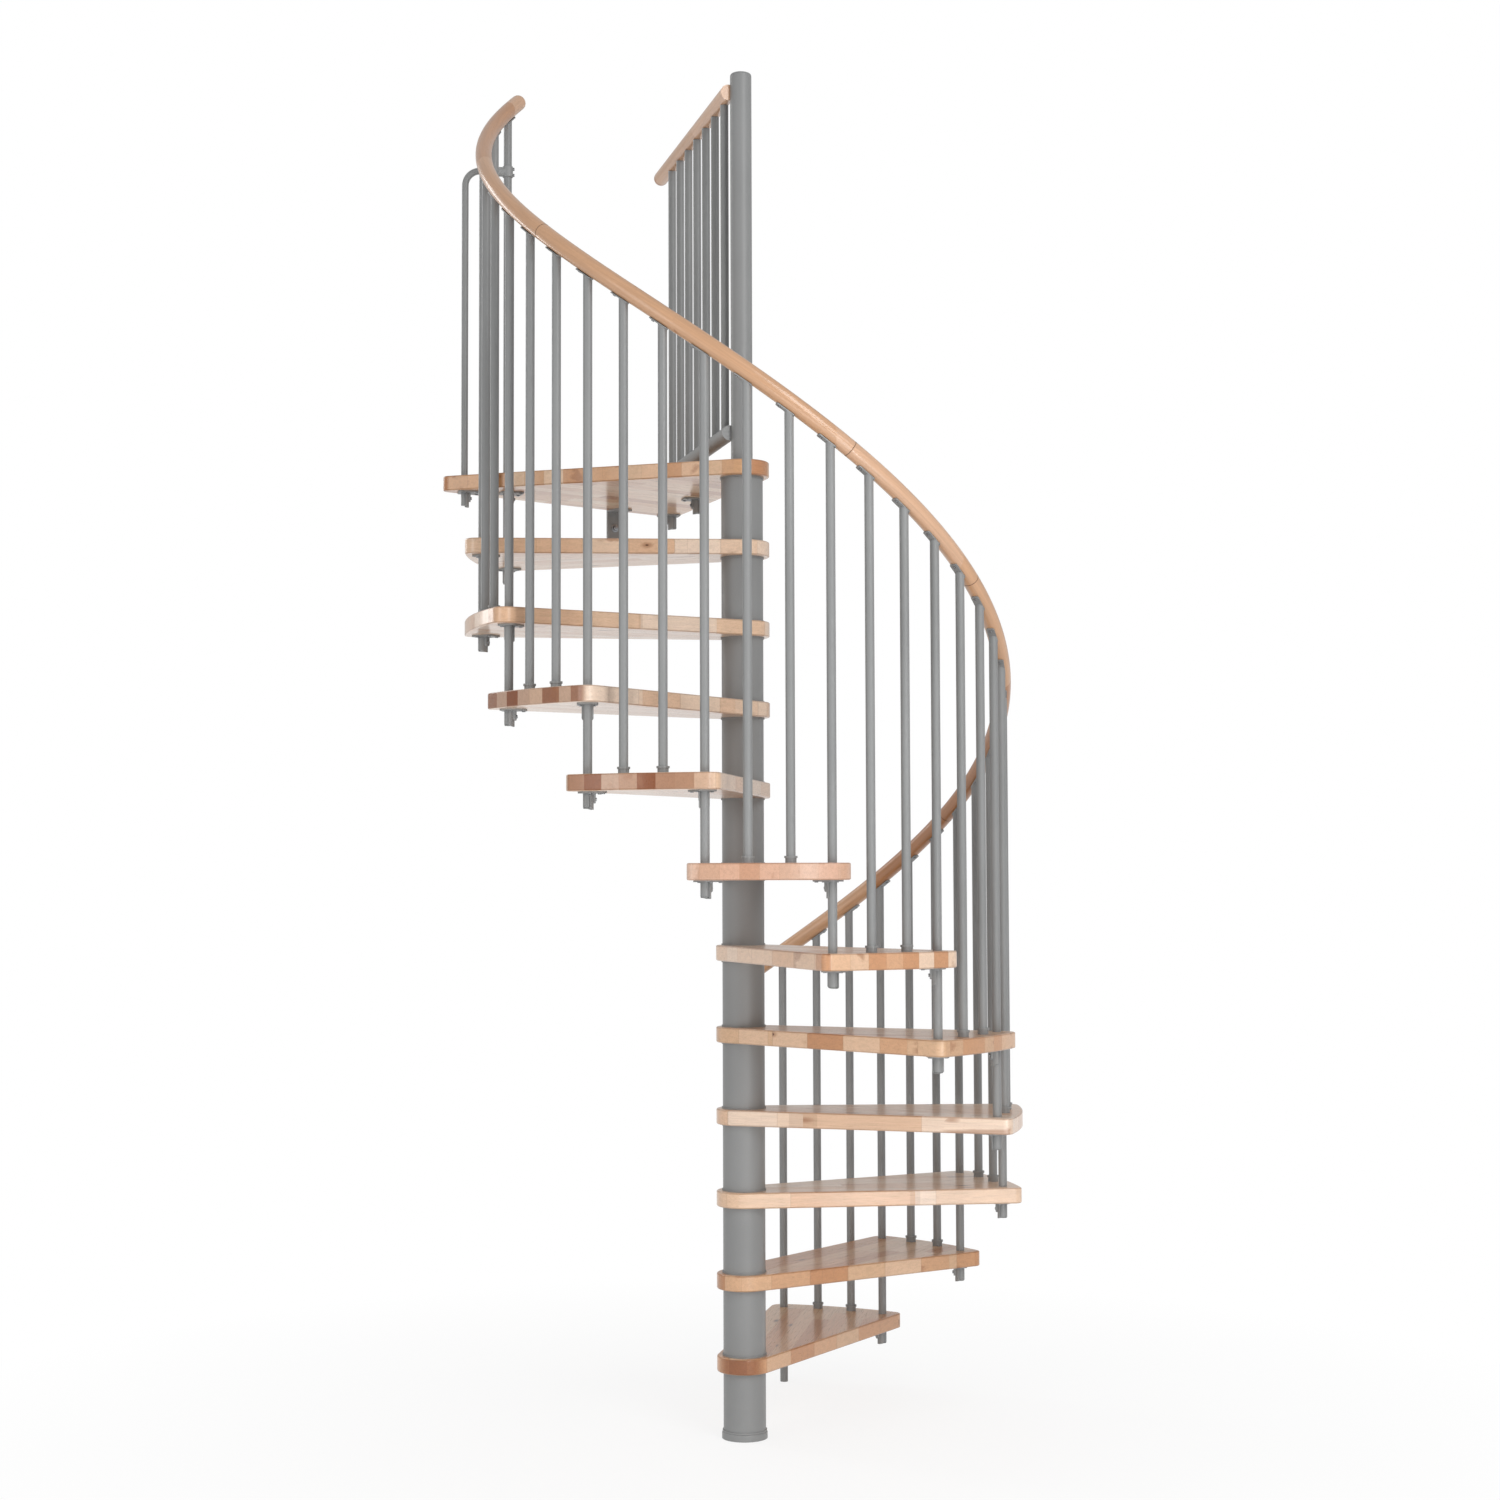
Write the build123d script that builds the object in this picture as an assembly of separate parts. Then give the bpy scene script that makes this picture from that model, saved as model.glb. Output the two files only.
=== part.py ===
from build123d import *
from math import atan2, cos, degrees, hypot, pi, radians, sin, tan
import os

# Spiral staircase kit: steel column, eleven beech treads, a landing, upright
# balusters and a round beech handrail. It climbs clockwise seen from above.
# Millimetres, +Z up, floor at z = 0, column axis on Z, photo taken from -Y.

# stair geometry
tread_count = 11
rise = 210.0
step_angle = 25.42
first_angle = 80.43
tread_thick = 40.0
tread_radius = 722.0
tread_sag = 6.0
tread_overhang = 38.0
hub_radius = 71.0
corner_front = 34.0
corner_back = 20.0
edge_round = 4.0
landing_top = rise * (tread_count + 1)

# column
pole_radius = 28.25
pole_above = 1037.0
cap_high = 56.0
pole_seat = 6.0
cap_round = 7.0
spacer_radius = 54.5
spacer_wall = 3.5
spacer_ring = 57.0
spacer_ring_high = 4.0
spacer_plate = 6.0
base_radius = 58.5
base_high = 18.0
washer_radius = 40.0
washer_high = 5.0
pole_top = landing_top + pole_above
pole_joint_z = pole_top - cap_high

# balusters and their fittings
baluster_inset = 47.0
baluster_radius = 11.0
stub_below = 38.0
ferrule_flange = 15.5
ferrule_flange_high = 5.0
ferrule_body = 13.2
ferrule_high = 16.0
tab_long = 52.0
tab_wide = 20.0
tab_thick = 3.0
tab_shift = 4.5
tab_corner = 5.0
baluster_line = tread_radius - baluster_inset

# corner brackets under the treads
bracket_wide = 50.0
bracket_long = 62.0
bracket_thick = 4.0
bracket_corner = 9.0
bracket_edge = 5.0
bracket_turn = 38.0
guard_bracket_turn = 195.0
hook_bracket_turn = 12.0
saddle_wall = 3.0
saddle_long = 43.0
saddle_round = 10.0
saddle_open = 2.0
rib_wide = 14.0
rib_long = 28.0
rib_proud = 4.0
rib_round = 5.5

# handrail
rail_radius = 21.0
rail_height = 1220.0
rail_before_angle = 6.36
rail_beyond_angle = 5.08
rail_joint_angles = (46.5, 114.4, 148.2, 216.1)
rail_joint_gap = 0.8

# landing plan and its guard
landing_left_past = 130.5
landing_left_angle = 166.8
landing_right_past = -5.0
landing_right_angle = 105.78
landing_corner = 20.0
guard_offset = -32.0
guard_slope = -0.265
guard_first = 45.0
guard_last_inset = 86.0
guard_count = 7
guard_through = (3, 6)
guard_rail_high = 988.0
guard_rail_past = 139.0
guard_tube_high = 80.0
guard_tube_past = 14.0
guard_tube_radius = 20.0
guard_last = tread_radius - guard_last_inset
guard_pitch = (guard_last - guard_first) / (guard_count - 1)
guard_rail_z = landing_top + guard_rail_high
guard_tube_z = landing_top + guard_tube_high

# bent closing tube beside the last baluster
hook_from_corner = (78.5, 10.3)
hook_radius = 9.0
hook_below_rail = 168.0
hook_bend = 42.0
clamp_wall = 3.0
clamp_high = 30.0
clamp_round = 1.5
socket_wall = 3.7
socket_long = 24.0
hook_top = rail_height + rise * tread_count - hook_below_rail

# bracket to the edge of the upper floor
floor_bracket_wide = 50.0
floor_bracket_drop = 120.0
floor_bracket_deep = 60.0
floor_bracket_thick = 5.0
floor_bracket_along = 0.73
floor_bracket_corner = 8.0
floor_bolt_radius = 4.5
floor_bolt_drops = (50.0, 95.0)

# clearances
bore_clear = 0.3
seat_clear = 0.2

rail_slope = atan2(rise, baluster_line * radians(step_angle))
landing_left = (
    (tread_radius + landing_left_past) * cos(radians(landing_left_angle)),
    (tread_radius + landing_left_past) * sin(radians(landing_left_angle)),
)
landing_right = (
    (tread_radius + landing_right_past) * cos(radians(landing_right_angle)),
    (tread_radius + landing_right_past) * sin(radians(landing_right_angle)),
)
hook_point = (landing_left[0] + hook_from_corner[0], landing_left[1] + hook_from_corner[1])
out = "parts"
os.makedirs(out, exist_ok=True)


def angle_at(s):
    return first_angle - s * step_angle


def point_at(s, r=baluster_line):
    a = radians(angle_at(s))
    return (r * cos(a), r * sin(a))


def save(node, shape):
    shape.label = node
    export_step(shape, os.path.join(out, node + ".step"))


def rod(x, y, z0, z1, r):
    return Pos(x, y, z0) * Cylinder(r, z1 - z0, align=(Align.CENTER, Align.CENTER, Align.MIN))


def ring(z0, high, r_out, r_in):
    return rod(0, 0, z0, z0 + high, r_out) - rod(0, 0, z0 - 1, z0 + high + 1, r_in)


def soften(body):
    # round the upper and lower outline of a board
    edges = body.edges().group_by(Axis.Z)
    return fillet(edges[0] + edges[-1], edge_round)


def turned(points):
    face = make_face(Plane.XZ * Polyline(*points, close=True))
    return revolve(face, Axis.Z, 360)


# column


def base_flange():
    body = rod(0, 0, 0, base_high, base_radius)
    body = fillet(body.edges().group_by(Axis.Z)[-1], 4.0)
    return body - rod(0, 0, pole_seat, base_high + 1, pole_radius + bore_clear)


def centre_pole():
    return rod(0, 0, pole_seat, pole_joint_z, pole_radius)


def pole_cap():
    body = rod(0, 0, pole_joint_z, pole_top, pole_radius)
    return fillet(body.edges().group_by(Axis.Z)[-1], cap_round)


def spacer(z0, z1):
    bore = pole_radius + bore_clear
    high = z1 - z0
    wall = spacer_radius - spacer_wall
    profile = [(bore, 0), (spacer_ring, 0), (spacer_ring, spacer_ring_high)]
    profile += [(spacer_radius, spacer_ring_high), (spacer_radius, high - spacer_ring_high)]
    profile += [(spacer_ring, high - spacer_ring_high), (spacer_ring, high), (bore, high)]
    profile += [(bore, high - spacer_plate), (wall, high - spacer_plate)]
    profile += [(wall, spacer_plate), (bore, spacer_plate)]
    return Pos(0, 0, z0) * turned(profile)


def spacers():
    found = [spacer(base_high, rise - tread_thick)]
    for k in range(1, tread_count + 1):
        found.append(spacer(k * rise, (k + 1) * rise - tread_thick))
    return Compound(children=found)


# treads and landing


def tangent_point(x, y, r, side):
    far = hypot(x, y)
    turn = side * (pi / 2 - atan2(r, (far * far - r * r) ** 0.5))
    a = atan2(y, x) + turn
    return (r * cos(a), r * sin(a))


def tread(k):
    # local frame: X points along the middle of the tread
    half = radians(step_angle / 2)
    reach = half + tread_overhang / tread_radius
    left = (tread_radius * cos(reach), tread_radius * sin(reach))
    right = (left[0], -left[1])
    middle = (tread_radius - tread_sag, 0)
    hub_left = tangent_point(left[0], left[1], hub_radius, 1)
    hub_right = (hub_left[0], -hub_left[1])
    outline = Line(hub_right, right) + ThreePointArc(right, middle, left) + Line(left, hub_left)
    outline += ThreePointArc(hub_left, (-hub_radius, 0), hub_right)
    plate = extrude(make_face(outline), tread_thick)
    upright = plate.edges().filter_by(Axis.Z).sort_by(Axis.X)
    outer = upright[-2:].sort_by(Axis.Y)
    # the climb is clockwise, so the +Y side is the front of the tread
    plate = fillet(outer[1:2], corner_front)
    outer = plate.edges().filter_by(Axis.Z).group_by(Axis.Y)[0]
    plate = fillet(outer.sort_by(Axis.X)[-1:], corner_back)
    plate = soften(plate)
    plate -= rod(0, 0, -1, tread_thick + 1, pole_radius + bore_clear)
    for side in (-1, 1):
        x = baluster_line * cos(half)
        y = side * baluster_line * sin(half)
        plate -= rod(x, y, -1, tread_thick + 1, baluster_radius + bore_clear)
    return Pos(0, 0, k * rise - tread_thick) * Rot(Z=angle_at(k - 0.5)) * plate


def guard_point(i):
    y = guard_first + i * guard_pitch
    return (guard_offset + guard_slope * y, y)


def landing():
    hub_front = tangent_point(*landing_left, hub_radius, 1)
    hub_back = tangent_point(*landing_right, hub_radius, -1)
    outline = Line(hub_front, landing_left) + Line(landing_left, landing_right)
    outline += Line(landing_right, hub_back)
    outline += ThreePointArc(hub_back, (hub_radius * cos(-pi / 4), hub_radius * sin(-pi / 4)), hub_front)
    plate = extrude(make_face(outline), tread_thick)
    upright = plate.edges().filter_by(Axis.Z)
    plate = fillet(upright.sort_by(Axis.X)[:1] + upright.sort_by(Axis.Y)[-1:], landing_corner)
    plate = soften(plate)
    plate -= rod(0, 0, -1, tread_thick + 1, pole_radius + bore_clear)
    bores = [point_at(tread_count) + (baluster_radius,), hook_point + (hook_radius,)]
    bores += [guard_point(i) + (baluster_radius,) for i in guard_through]
    for x, y, r in bores:
        plate -= rod(x, y, -1, tread_thick + 1, r + bore_clear)
    return Pos(0, 0, landing_top - tread_thick) * plate


# balusters


def baluster(s, foot, ferrule):
    # local frame: X outwards, -Y uphill
    centre = rail_height + s * rise
    under = rail_radius + seat_clear
    slope = degrees(rail_slope)
    seat = Pos(0, 0, centre) * Rot(X=-slope)
    body = rod(0, 0, foot, centre, baluster_radius)
    block = Box(4 * tab_wide, 4 * tab_long, 4 * rail_radius, align=(Align.CENTER, Align.CENTER, Align.MIN))
    body -= seat * Pos(0, 0, -under - tab_thick) * block
    tab = Box(tab_wide, tab_long, tab_thick, align=(Align.CENTER, Align.CENTER, Align.MAX))
    tab = fillet(tab.edges().filter_by(Axis.Z), tab_corner)
    body += seat * Pos(0, tab_shift, -under) * tab
    if ferrule:
        body += rod(0, 0, foot, foot + ferrule_high, ferrule_body)
        body += rod(0, 0, foot + ferrule_high - ferrule_flange_high, foot + ferrule_high, ferrule_flange)
    x, y = point_at(s)
    return Pos(x, y, 0) * Rot(Z=angle_at(s)) * body


def corner_foot(k):
    if k == 0:
        return 0.0
    return k * rise - tread_thick - stub_below


def baluster_set(k):
    found = [baluster(k, corner_foot(k), False)]
    if k < tread_count:
        found.append(baluster(k + 1 / 3, (k + 1) * rise, True))
        found.append(baluster(k + 2 / 3, (k + 1) * rise, True))
    return Compound(children=found)


# corner brackets


def side_profile(wide, low, high, corner):
    # upright plate outline seen along X, with round corners at its foot
    spare = 2 * corner
    middle = (low + high + spare) / 2
    return Plane.YZ * (Pos(0, middle) * RectangleRounded(wide, high + spare - low, corner))


def bracket(x, y, top, toward, radius=baluster_radius):
    # plate under the tread, with a half saddle beside the tube and a rib on it
    inner = radius + bore_clear
    outer = inner + saddle_wall
    low = top - bracket_thick
    foot = top - saddle_long
    plate = Pos(bracket_long / 2 - outer - bracket_edge, 0, 0) * Box(bracket_long, bracket_wide, bracket_thick)
    plate = fillet(plate.edges().filter_by(Axis.Z), bracket_corner)
    plate = Pos(0, 0, low + bracket_thick / 2) * plate
    mask = Pos(saddle_open, 0, 0) * extrude(side_profile(2 * outer + 1, foot, top, saddle_round), outer)
    leg = rod(0, 0, foot, low, outer) & mask
    rib_outline = side_profile(rib_wide, top - rib_long, top, rib_round)
    rib = Pos(inner, 0, 0) * extrude(rib_outline, saddle_wall + rib_proud)
    below = Box(4 * outer, 4 * outer, 2 * saddle_long, align=(Align.CENTER, Align.CENTER, Align.MAX))
    rib &= Pos(0, 0, low) * below
    body = (plate + leg + rib) - rod(0, 0, foot - 1, top + 1, inner)
    return Pos(x, y, 0) * Rot(Z=toward) * body


def tread_brackets(k):
    top = k * rise - tread_thick
    found = []
    for s, turn in ((k - 1, -bracket_turn), (k, bracket_turn)):
        x, y = point_at(s)
        found.append(bracket(x, y, top, angle_at(s) + 180 - turn))
    return found


def landing_brackets():
    top = landing_top - tread_thick
    x, y = point_at(tread_count)
    found = [bracket(x, y, top, angle_at(tread_count) + 180 + bracket_turn)]
    found.append(bracket(*hook_point, top, hook_bracket_turn, hook_radius))
    for i in guard_through:
        x, y = guard_point(i)
        found.append(bracket(x, y, top, guard_bracket_turn))
    return found


# handrail


def rail_piece(s0, s1):
    pitch = rise * 360 / step_angle
    climb = (s1 - s0) * rise
    path = Helix(pitch, climb, baluster_line, lefthand=True)
    profile = Plane(path @ 0, z_dir=path % 0) * Circle(rail_radius)
    body = sweep(profile, path, is_frenet=True)
    return Pos(0, 0, rail_height + s0 * rise) * Rot(Z=angle_at(s0)) * body


def handrails():
    per_step = hypot(rise, baluster_line * radians(step_angle))
    gap = rail_joint_gap / per_step / 2
    last = tread_count * step_angle + rail_beyond_angle
    stops = [a / step_angle for a in (-rail_before_angle,) + rail_joint_angles + (last,)]
    pieces = []
    for i in range(len(stops) - 1):
        s0 = stops[i] + (gap if i > 0 else 0)
        s1 = stops[i + 1] - (gap if i < len(stops) - 2 else 0)
        body = rail_piece(s0, s1)
        if i == 0:
            body += Pos(*point_at(s0), rail_height + s0 * rise) * Sphere(rail_radius)
        if i == len(stops) - 2:
            body += Pos(*point_at(s1), rail_height + s1 * rise) * Sphere(rail_radius)
        pieces.append(body)
    return pieces


# landing guard


def along_guard(y, z):
    # point on the guard's line
    return (guard_offset + guard_slope * y, y, z)


def lying_rod(start, end, r):
    a = Vector(*start)
    b = Vector(*end)
    plane = Plane(origin=a, z_dir=b - a)
    return extrude(plane * Circle(r), (b - a).length)


def guard_rail():
    y0 = -guard_offset * 0.02
    y1 = guard_last + guard_rail_past
    body = lying_rod(along_guard(y0, guard_rail_z), along_guard(y1, guard_rail_z), rail_radius)
    body += Pos(*along_guard(y1, guard_rail_z)) * Sphere(rail_radius)
    high = 2 * rail_radius
    return body - rod(0, 0, guard_rail_z - high, guard_rail_z + high, pole_radius + seat_clear)


def guard_tube():
    last = guard_last + guard_tube_past
    high = 2 * guard_tube_radius
    body = lying_rod(along_guard(0, guard_tube_z), along_guard(last, guard_tube_z), guard_tube_radius)
    body -= rod(0, 0, guard_tube_z - high, guard_tube_z + high, pole_radius + seat_clear)
    for i in range(guard_count):
        x, y = guard_point(i)
        foot = guard_tube_z if i not in guard_through else guard_tube_z - high
        body -= rod(x, y, foot, guard_tube_z + high, baluster_radius + bore_clear)
    return body


def guard_balusters():
    found = []
    for i in range(guard_count):
        x, y = guard_point(i)
        foot = guard_tube_z
        if i in guard_through:
            foot = landing_top - tread_thick - stub_below
        found.append(rod(x, y, foot, guard_rail_z - rail_radius - seat_clear, baluster_radius))
    return Compound(children=found)


# bent closing tube and its clamp


def hook_heading():
    # level direction and distance from the hook tube to the last baluster
    x0, y0 = hook_point
    x1, y1 = point_at(tread_count)
    run = hypot(x1 - x0, y1 - y0)
    return (x1 - x0) / run, (y1 - y0) / run, run


def hook_tube():
    x0, y0 = hook_point
    ux, uy, run = hook_heading()
    stop = run - baluster_radius - bore_clear - clamp_wall - seat_clear
    foot = landing_top - tread_thick - stub_below
    frame = Plane(origin=(x0, y0, 0), x_dir=(ux, uy, 0), z_dir=(uy, -ux, 0))
    line = Line((0, foot), (0, hook_top - hook_bend))
    arc = ThreePointArc(
        (0, hook_top - hook_bend),
        (hook_bend * (1 - cos(pi / 4)), hook_top - hook_bend * (1 - sin(pi / 4))),
        (hook_bend, hook_top),
    )
    path = frame * (line + arc + Line((hook_bend, hook_top), (stop, hook_top)))
    profile = Plane(origin=(x0, y0, foot), z_dir=(0, 0, 1)) * Circle(hook_radius)
    return sweep(profile, path)


def tube_clamp():
    # collar round the last baluster, with a socket for the hook tube's end
    x, y = point_at(tread_count)
    ux, uy, run = hook_heading()
    collar = baluster_radius + bore_clear + clamp_wall
    low = hook_top - clamp_high / 2
    body = rod(x, y, low, low + clamp_high, collar)
    body = fillet(body.edges().filter_by(GeomType.CIRCLE), clamp_round)
    bore = hook_radius + bore_clear
    axis = Plane(origin=(x, y, hook_top), z_dir=(-ux, -uy, 0))
    body += extrude(axis * Circle(bore + socket_wall), collar + socket_long)
    mouth = Plane(origin=(x - ux * collar, y - uy * collar, hook_top), z_dir=(-ux, -uy, 0))
    body -= extrude(mouth * Circle(bore), socket_long + 1)
    return body - rod(x, y, low - 1, low + clamp_high + 1, baluster_radius + bore_clear)


# bracket to the upper floor


def floor_bracket():
    lx, ly = landing_left
    rx, ry = landing_right
    run = hypot(rx - lx, ry - ly)
    ux = (rx - lx) / run
    uy = (ry - ly) / run
    px = lx + ux * run * floor_bracket_along
    py = ly + uy * run * floor_bracket_along
    top = landing_top - tread_thick
    frame = Location(Plane(origin=(px, py, top), x_dir=(ux, uy, 0), z_dir=(0, 0, 1)))
    side = (Align.CENTER, Align.MAX, Align.MAX)
    flat = Box(floor_bracket_wide, floor_bracket_deep, floor_bracket_thick, align=side)
    flat = fillet(flat.edges().filter_by(Axis.Z).group_by(Axis.Y)[0], floor_bracket_corner)
    drop = Box(floor_bracket_wide, floor_bracket_thick, floor_bracket_drop, align=side)
    drop = fillet(drop.edges().filter_by(Axis.Y).group_by(Axis.Z)[0], floor_bracket_corner)
    for down in floor_bolt_drops:
        drop -= Pos(0, 0, -down) * Rot(X=90) * Cylinder(floor_bolt_radius, 4 * floor_bracket_thick)
    return frame * (flat + drop)


save("base_flange", base_flange())
save("centre_pole", centre_pole())
save("pole_cap", pole_cap())
save("column_spacers", spacers())
save("landing_washer", ring(landing_top, washer_high, washer_radius, pole_radius + bore_clear))
for k in range(1, tread_count + 1):
    save(f"tread_{k:02d}", tread(k))
save("landing", landing())
for k in range(tread_count + 1):
    save(f"balusters_{k:02d}", baluster_set(k))
lower = []
middle = []
upper = []
for k in range(1, tread_count + 1):
    group = lower if k <= 4 else middle if k <= 8 else upper
    group.extend(tread_brackets(k))
save("brackets_lower", Compound(children=lower))
save("brackets_middle", Compound(children=middle))
save("brackets_upper", Compound(children=upper))
save("brackets_landing", Compound(children=landing_brackets()))
for i, piece in enumerate(handrails()):
    save(f"handrail_{i + 1}", piece)
save("guard_rail", guard_rail())
save("guard_tube", guard_tube())
save("guard_balusters", guard_balusters())
save("hook_tube", hook_tube())
save("tube_clamp", tube_clamp())
save("floor_bracket", floor_bracket())
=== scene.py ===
import math
import bpy
from mathutils import Matrix, Vector


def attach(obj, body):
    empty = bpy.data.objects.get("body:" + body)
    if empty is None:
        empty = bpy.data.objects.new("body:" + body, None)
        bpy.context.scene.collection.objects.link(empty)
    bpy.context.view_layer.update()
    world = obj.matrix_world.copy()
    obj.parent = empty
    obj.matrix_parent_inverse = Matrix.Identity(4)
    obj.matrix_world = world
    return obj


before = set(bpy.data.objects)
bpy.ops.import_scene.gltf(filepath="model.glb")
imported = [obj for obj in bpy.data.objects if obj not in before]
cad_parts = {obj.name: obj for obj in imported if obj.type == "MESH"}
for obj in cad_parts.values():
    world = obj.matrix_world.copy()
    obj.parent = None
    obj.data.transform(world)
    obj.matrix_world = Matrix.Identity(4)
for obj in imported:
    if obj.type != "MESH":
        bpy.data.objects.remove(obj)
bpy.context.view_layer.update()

# the stair's own measures, in metres and degrees
stair = {
    "rise": 0.21,
    "stepAngle": 25.42,
    "firstAngle": 80.43,
    "treads": 11,
    "treadThick": 0.04,
    "balusterLine": 0.675,
    "railRadius": 0.021,
    "railHeight": 1.22,
    "stubBelow": 0.038,
    "landingTop": 2.52,
}

# where the landing's pieces stand
landingSpots = {
    "hook": (-0.7515, 0.205, 3.362),
    "cornerLeft": (-0.82999, 0.19467, 0.0),
    "cornerRight": (-0.19494, 0.68998, 0.0),
    "bracketAlong": 0.73,
    # the two guard posts that pass through the landing, and the line they stand on
    "guardPosts": (0.3405, 0.636),
    "guardLineX": -0.032,
    "guardSlant": -0.265,
    "guardTurn": 104.8,  # degrees
}
print("stair loaded with", len(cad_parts), "nodes")


def angleAt(s):
    return math.radians(stair["firstAngle"] - s * stair["stepAngle"])


def placeAt(s, z, r=stair["balusterLine"]):
    a = angleAt(s)
    return Vector((r * math.cos(a), r * math.sin(a), z))


def railSlope():
    return math.atan2(stair["rise"], stair["balusterLine"] * math.radians(stair["stepAngle"]))


# materials


def linear(hexColour):
    # written as sRGB hex, used as linear light
    parts = [int(hexColour[i:i + 2], 16) / 255 for i in (1, 3, 5)]
    return tuple(c / 12.92 if c <= 0.04045 else ((c + 0.055) / 1.055) ** 2.4 for c in parts) + (1,)


def addNode(tree, kind, links=None, **settings):
    node = tree.nodes.new(kind)
    for name, value in settings.items():
        setattr(node, name, value)
    for socket, source in (links or {}).items():
        if isinstance(source, (int, float, tuple)):
            node.inputs[socket].default_value = source
        else:
            tree.links.new(source, node.inputs[socket])
    return node


def sums(tree, operation, a, b=0.0, c=0.0):
    return addNode(tree, "ShaderNodeMath", {0: a, 1: b, 2: c}, operation=operation).outputs[0]


def newMaterial(name):
    material = bpy.data.materials.new(name)
    material.use_nodes = True
    tree = material.node_tree
    shader = tree.nodes["Principled BSDF"]
    return material, tree, shader


def ramp(tree, source, stops, interpolation="LINEAR"):
    node = addNode(tree, "ShaderNodeValToRGB", {"Fac": source})
    node.color_ramp.interpolation = interpolation
    elements = node.color_ramp.elements
    while len(elements) < len(stops):
        elements.new(0.5)
    for element, (place, colour) in zip(elements, stops):
        element.position = place
        element.color = linear(colour) if isinstance(colour, str) else (colour, colour, colour, 1)
    return node.outputs["Color"]


def mixColours(tree, factor, a, b, blend="MIX"):
    node = addNode(tree, "ShaderNodeMix", {0: factor, 6: a, 7: b}, data_type="RGBA", blend_type=blend)
    return node.outputs[2]


def tinted(tree, mask, strength, tone, hexColour):
    # lay a colour over the tone where the mask is light
    return mixColours(tree, sums(tree, "MULTIPLY", mask, strength), tone, linear(hexColour))


def powderCoat(name, look):
    # baked polyester powder on steel: even grey, fine orange peel, soft broad highlight
    material, tree, shader = newMaterial(name)
    where = addNode(tree, "ShaderNodeTexCoord").outputs["Object"]
    cloud = addNode(tree, "ShaderNodeTexNoise", {
        "Vector": where, "Scale": 1 / look["cloudSize"], "Detail": 3.0})
    tone = ramp(tree, cloud.outputs["Fac"], [(0.3, look["dark"]), (0.7, look["light"])])
    speck = addNode(tree, "ShaderNodeTexNoise", {
        "Vector": where, "Scale": 1 / look["speckSize"], "Detail": 2.0})
    specks = ramp(tree, speck.outputs["Fac"], [(0.62, 0.0), (0.78, 1.0)])
    tone = tinted(tree, specks, look["speckStrength"], tone, look["speck"])
    tree.links.new(tone, shader.inputs["Base Color"])
    rough = sums(tree, "MULTIPLY_ADD", cloud.outputs["Fac"], look["roughSpread"], look["rough"])
    tree.links.new(rough, shader.inputs["Roughness"])
    peel = addNode(tree, "ShaderNodeTexNoise", {
        "Vector": where, "Scale": 1 / look["peelSize"], "Detail": 1.5})
    bump = addNode(tree, "ShaderNodeBump", {
        "Height": peel.outputs["Fac"], "Strength": look["peelStrength"], "Distance": look["peelDepth"]})
    tree.links.new(bump.outputs["Normal"], shader.inputs["Normal"])
    return material


# peel and specks are drawn coarser than the real half millimetre, so that they show
steelLook = {
    "dark": "#808181", "light": "#8a8b8b", "speck": "#9b9c9c",
    "cloudSize": 0.35, "speckSize": 0.0022, "speckStrength": 0.35,
    "rough": 0.36, "roughSpread": 0.12,
    "peelSize": 0.0035, "peelStrength": 0.22, "peelDepth": 0.0004,
}
# the fittings have the same powder coat as the balusters, drawn lighter as painted light against the shade
# under the treads and the landing
fittingLitLook = dict(steelLook, dark="#888989", light="#939494", rough=0.4)

beechLook = {
    "tones": ("#e2c2a6", "#dbb391", "#e6cbb3", "#d3a581", "#dfbd9f", "#c8946d"),
    # edge is the colour of the painted shade on the rounded edges, and the edge strength is how much of it
    "heart": "#8f5a35", "glue": "#8a5f40", "glueStrength": 0.22, "edge": "#7a4f31",
    "endTone": "#9c6a42", "endStrength": 0.16,
    "stripWidth": 0.046, "blockLength": 0.34, "shortest": 0.4, "longest": 2.0,
    "glueWidth": 0.0006, "fibreWidth": 0.0014, "fibreLength": 0.06,
    "ringWidth": 0.007, "ringStretch": 22, "fleckWidth": 0.0007, "fleckLength": 0.004,
    "fibreStrength": 0.30, "bandStrength": 0.5, "fleckStrength": 0.34, "fleck": "#a87550",
    "heartLength": 0.5, "heartWidth": 0.055, "heartStrength": 0.55,
    "coat": 0.35, "coatRough": 0.12, "rough": 0.27, "edgeShadeStrength": 0.42,
    "knotEvery": 0.12, "knotSlim": 3, "knotRadius": 0.0048, "knotRarity": 0.84,
    "knotRim": 0.7, "knotCore": 0.85, "knot": "#4d2d1b",
}


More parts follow.
